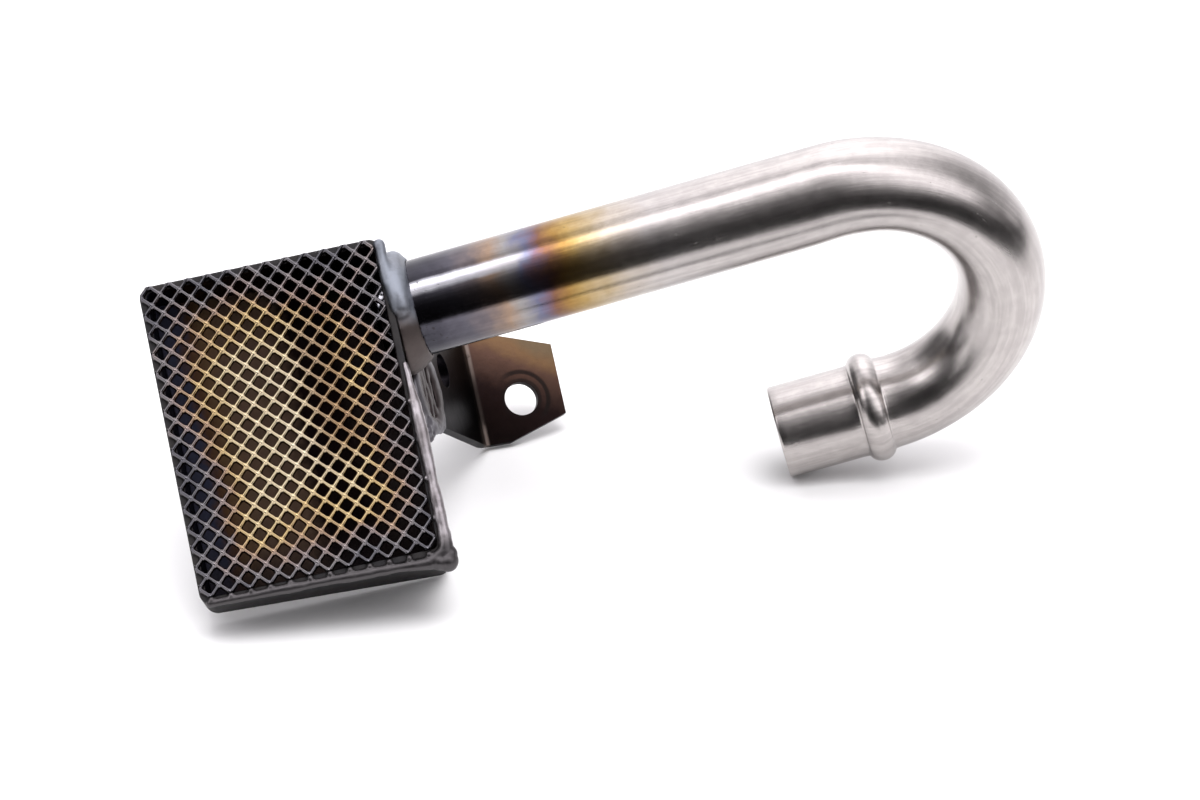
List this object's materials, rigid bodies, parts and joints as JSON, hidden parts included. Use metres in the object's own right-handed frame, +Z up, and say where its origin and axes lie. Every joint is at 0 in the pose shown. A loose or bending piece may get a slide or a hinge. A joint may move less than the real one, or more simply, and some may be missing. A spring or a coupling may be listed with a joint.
{
  "type": "oil pickup tube",
  "caption": "Steel oil pickup: a flat wedge-shaped box with a diamond-mesh screen, a tube bent back on itself to a plain beaded end, and a welded folded bracket with bolt holes.",
  "frame": {"origin": "On the axis of the tube's plain open end, at the foot of the end's bevel, where its parallel wall begins.", "axes": "+Z is up as the part lies on a flat surface on a lower corner of the box, the folded edge of the bracket and the tube's open end. +X runs level along the tube, from the screen box towards the bend. +Y is level, away from the screen's face."},
  "size_m": [0.1799, 0.0894, 0.0793],
  "materials": {
    "tube_steel": "satin drawn steel, heat-tinted blue and straw next to the box",
    "box_steel": "pressed sheet steel with dark heat scale",
    "screen_steel": "expanded steel, heat-tinted straw to purple",
    "bracket_steel": "sheet steel, heat-tinted dark bronze",
    "weld_tube": "smooth weld bead, blue-grey",
    "weld_bracket": "rippled weld bead, grey",
    "weld_rim": "lumpy weld bead, grey"
  },
  "bodies": {
    "root": {"pickup_tube": "tube_steel", "screen_box": "box_steel", "mesh_screen": "screen_steel", "mounting_bracket": "bracket_steel", "tube_weld": "weld_tube", "bracket_weld": "weld_bracket", "rim_weld": "weld_rim"}
  },
  "joints": []
}
